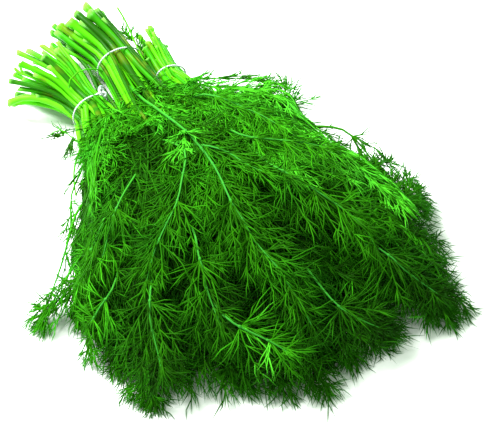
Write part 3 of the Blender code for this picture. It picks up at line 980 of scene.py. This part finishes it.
# Small crinkled leaves, most of them between the bundles: line, width, tone, gap, thickness
# of the rib and how wavy the threads are
SMALL_LEAVES = (
    (((-70, -46, 14), (-75, -50, 13), (-80, -54, 11)), 9, 0.4, 6, 0.5, 2.0),
    (((-6, -7, 61), (4, -12, 63), (13, -18, 64)), 9, 1.2, 7, 0.8, 0.8),
    (((-95, 12, 20), (-108, 13, 21), (-119, 13.5, 22), (-127, 12, 22)), 10, 0.7, 7, 0.6, 1.6),
    (((-93, 14, 16), (-103, 17, 18), (-112, 18, 19)), 10, 0.6, 7, 0.6, 1.6),
)

sprig_paths = {}
extra_leaves = {}
for side_name, bundle in BUNDLES.items():
    for number in range(1, bundle["count"] + 1):
        node = f"{side_name}_sprig_{number:02d}"
        sprig_paths[node] = sprig_path(node, bundle, random.Random(f"{node} stalk"))
        extra_leaves[node] = []


CROWDING = 9.0


def nearest_sprig(place):
    """The sprig with the fewest extra leaves whose stalk passes near a place."""
    def far(node):
        path = sprig_paths[node]
        near = min((point - place).length for point in path[len(path) // 3:])
        return near + CROWDING * len(extra_leaves[node])
    return min(sprig_paths, key=far)


for points, width, tone, gap, thick, bare in TOP_LEAVES:
    points = [Vector(point) for point in points]
    ways = {"gap": gap, "thick": thick, "wave": 0.7, "pale": True}
    extra_leaves[nearest_sprig(points[0])].append((points, width, tone, bare, ways))
for points, width, tone, gap, thick, wave in SMALL_LEAVES:
    points = [Vector(point) for point in points]
    ways = {"gap": gap, "thick": thick, "wave": wave}
    extra_leaves[nearest_sprig(points[0])].append((points, width, tone, 2.0, ways))
edge_rng = random.Random("edge leaves")
# The forked threads at a leaf's end pass the end of its rib by this much
LAST_FORK = 11.0
for x, y, z, heading, length, width in EDGE_LEAVES:
    outward = level_way(heading)
    tip = Vector((x, y, z)) - outward * LAST_FORK
    start = tip - outward * length
    angle, share, level = heap_place(start)
    start.z = max(5.0, min(heap_top(angle, min(max(share, 0.0), 1.0)) - 6.0, z + length * 0.55))
    middle = start.lerp(tip, 0.5) + Vector((0.0, 0.0, 2.5))
    middle += UP.cross(outward) * edge_rng.uniform(-4.0, 4.0)
    # Painted light: edge leaves are toned darker the further they lie along x and brighter far out
    # on the -y side, plus random tone
    tone = 0.66 - 0.002 * x - 0.002 * min(y + 50.0, 0.0) + edge_rng.uniform(-0.08, 0.08)
    ways = {"gap": 18.0, "thick": 0.95, "wave": 0.8, "fullness": 0.75}
    extra_leaves[nearest_sprig(start)].append(((start, middle, tip), width * 1.15, tone, 6.0, ways))

for side_name, bundle in BUNDLES.items():
    for number in range(1, bundle["count"] + 1):
        node = f"{side_name}_sprig_{number:02d}"
        rng = random.Random(f"{node} growth")
        loose = [(points, radius, tone) for side, owner, points, radius, tone in LOOSE_STEMS
                 if (side, owner) == (side_name, number)]
        mesh = grow_sprig(node, bundle, sprig_paths[node], extra_leaves[node], loose, rng)
        mesh.materials.append(STALK_SKIN)
        mesh.materials.append(LEAF_SKIN)
        sprig = placed(node + "_growth", mesh)
        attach(sprig, "root")
        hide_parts(node)

# ---------------------------------------------------------------------------------------
# Thread ties. One soft white cotton cord of two plies is pulled tight round each bundle's
# stalks and knotted, with short tails. Knot and loop are one piece of cord.

PLY_RADIUS = 0.34
PLY_OFFSET = 0.26
PLY_TURN = 2.6
CORD_SIDES_LEVEL = 1
LOOP_STEPS = 150
KNOT_STEPS = 18
TAIL_STEPS = 7
KNOT_CORD = 0.85
# Turns of the knot: middle and axis along the stalks, across them and up, size and tone
# The first turn's low tone is painted shade: it comes out greenish-grey
KNOT_TURNS = (
    ((-1.6, 0.5, 1.2), (0.9, -0.3, 0.5), 1.2, 0.2),
    ((-0.4, -0.1, 0.7), (0.8, 0.5, 0.9), 1.4, 0.8),
    ((0.4, -0.9, -0.2), (0.7, 0.7, 0.5), 1.3, 0.95),
    ((1.5, 0.1, -0.9), (0.57, -0.3, 0.77), 1.25, 0.65),
)


def cotton_material():
    """White cotton in fine noise from cool grey to white. A low tone paints it greenish-grey:
    painted shade on the knot's inner turn.
    """
    skin = Skin("cotton thread")
    tone = skin.tone_and_length(skin.strand_map())[0]
    ply = skin.noise(skin.object_places(), 1800.0, 2.0)
    ply_colour = skin.ramped(ply, ((0.35, (0.36, 0.42, 0.45)), (0.6, (0.62, 0.64, 0.64))))
    # Painted shade: strands with a low tone are mixed towards greenish-grey
    colour = skin.mixed(skin.ranged(tone, 0.7, 0.0, 0.0, 0.9), ply_colour, (0.1, 0.25, 0.17))
    return skin.finish(colour, skin.ranged(ply, 0.0, 1.0, 0.75, 0.95), ply, 0.5, 0.0002)


def tie_route(bundle):
    """Oval route of the cord round the stalks, and its two directions."""
    side = UP.cross(bundle_way(bundle))
    reach = bundle["stalk_radius"] + 0.8
    offsets = []
    for row, count in enumerate(bundle["rows"]):
        for lane in range(count):
            offsets.append(((lane - (count - 1) / 2.0) * bundle["spacing"],
                            (row - (len(bundle["rows"]) - 1) / 2.0) * bundle["spacing"] * 0.866))
    wide = max(offset[0] for offset in offsets) + reach
    tall = max(offset[1] for offset in offsets) + reach
    grown = max(math.hypot(offset[0] / (wide - reach), offset[1] / (tall - reach))
                for offset in offsets)
    grown = 1.0 + (grown - 1.0) * 0.8
    return side, wide * grown, tall * grown


def cord(points):
    """Strands of two twisted plies along a route of points."""
    marks = lengths_along(points)
    plies = []
    for ply in (0.0, math.pi):
        twisted = []
        for index, (point, mark) in enumerate(zip(points, marks)):
            after = points[min(index + 1, len(points) - 1)]
            before = points[max(index - 1, 0)]
            course = (after - before).normalized()
            side = course.orthogonal() if abs(course.z) > 0.99 else UP.cross(course)
            side.normalize()
            turn = 2.0 * math.pi * mark / PLY_TURN + ply
            twisted.append(point + side * PLY_OFFSET * math.cos(turn)
                           + course.cross(side) * PLY_OFFSET * math.sin(turn))
        radii = [PLY_RADIUS] * (len(points) - 1) + [PLY_RADIUS * 0.7]
        plies.append((tuple(twisted), tuple(radii), 0.9))
    return plies


def make_tie(side_name, bundle):
    """One tie's cord: the loop, the turns of its knot, the strand led to it, and two tails."""
    side, wide, tall = tie_route(bundle)
    forward = bundle_way(bundle)
    centre = Vector(bundle["tie"]) + Vector(bundle["shift"]) + forward * bundle["slip"]
    loop = []
    for step in range(LOOP_STEPS + 1):
        turn = 2.0 * math.pi * step / LOOP_STEPS
        slack = 0.25 * math.sin(3.0 * turn + 1.0)
        loop.append(centre + side * (wide + slack) * math.cos(turn)
                    + UP * (tall + slack) * math.sin(turn) + forward * 0.5 * math.sin(2.0 * turn))
    strands = cord(loop)
    turn = math.radians(bundle["knot"])
    at = centre + side * wide * math.cos(turn) + UP * tall * math.sin(turn)
    out = (side * math.cos(turn) + UP * math.sin(turn)).normalized()
    heart = at + out * 2.4 + forward * 1.8
    for shift, axis, size, tone in KNOT_TURNS:
        middle = heart + forward * shift[0] + side * shift[1] + UP * shift[2]
        facing = (forward * axis[0] + side * axis[1] + UP * axis[2]).normalized()
        one = facing.orthogonal().normalized()
        other = facing.cross(one)
        ring = []
        for step in range(KNOT_STEPS + 1):
            spin = 2.0 * math.pi * step / KNOT_STEPS
            ring.append(middle + one * size * math.cos(spin) + other * size * 0.85 * math.sin(spin)
                        + facing * 0.25 * math.sin(spin))
        strands.append((tuple(ring), (KNOT_CORD,) * len(ring), tone))
    lead = [at - side * 1.6 + UP * 0.4, at + forward * 0.4 + UP * 0.6,
            heart - side * 1.2 - UP * 0.7]
    strands.append((tuple(lead), (PLY_RADIUS * 1.5, PLY_RADIUS * 2.0, KNOT_CORD * 1.3), 0.9))
    for way, tail_length in ((0.5, 4.0), (-0.3, 3.0)):
        tail = []
        for step in range(TAIL_STEPS + 1):
            share = step / TAIL_STEPS
            tail.append(heart + (forward * way + side * 0.5 - UP * 0.8) * tail_length * share)
        strands += cord(tail)
    mesh = tube_mesh(side_name + "_cord", strands, CORD_SIDES_LEVEL, (0.0, 1.0))[0]
    return join_shapes(side_name + "_cord", [(0, mesh, False)])


COTTON = cotton_material()
for side_name, bundle in BUNDLES.items():
    mesh = make_tie(side_name, bundle)
    mesh.materials.append(COTTON)
    tie_piece = placed(side_name + "_cord", mesh)
    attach(tie_piece, "root")
    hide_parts(side_name + "_thread_tie")

# ---------------------------------------------------------------------------------------
# Table, light and camera.

floor_shape = bmesh.new()
bmesh.ops.create_grid(floor_shape, x_segments=1, y_segments=1, size=3.0)
floor_mesh = bpy.data.meshes.new("table")
floor_shape.to_mesh(floor_mesh)
floor_shape.free()
floor = placed("table", floor_mesh)
floor.location.z = -0.0003
white = Skin("white table")
white.shader.inputs["Base Color"].default_value = (0.93, 0.94, 0.93, 1.0)
white.shader.inputs["Roughness"].default_value = 0.9
floor_mesh.materials.append(white.material)

world = bpy.data.worlds.new("studio")
world.use_nodes = True
sky = world.node_tree.nodes["Background"]
sky.inputs["Color"].default_value = (0.8, 1.0, 0.78, 1.0)
sky.inputs["Strength"].default_value = 0.85
bpy.context.scene.world = world

key = bpy.data.lights.new("window light", "AREA")
key.energy = 42.0
key.size = 0.6
key_holder = placed("window light", key)
key_holder.location = (-0.5, -0.36, 0.95)
key_aim = Vector((-0.02, 0.0, 0.03))
key_holder.rotation_euler = (key_aim - key_holder.location).to_track_quat("-Z", "Y").to_euler()

CAMERA_AZIMUTH = 62.0
CAMERA_ELEVATION = 50.0
CAMERA_DISTANCE = 1.0
CAMERA_AIM = Vector((0.0172, 0.0202, 0.0))
lens = bpy.data.cameras.new("camera")
lens.lens = 130.9
lens.clip_start = 0.05
lens.clip_end = 20.0
camera = placed("camera", lens)
turn = math.radians(CAMERA_AZIMUTH)
rise = math.radians(CAMERA_ELEVATION)
back = Vector((math.sin(turn) * math.cos(rise), -math.cos(turn) * math.cos(rise), math.sin(rise)))
camera.location = CAMERA_AIM + back * CAMERA_DISTANCE
camera.rotation_euler = back.to_track_quat("Z", "Y").to_euler()
bpy.context.scene.camera = camera
bpy.context.scene.view_settings.view_transform = "Standard"
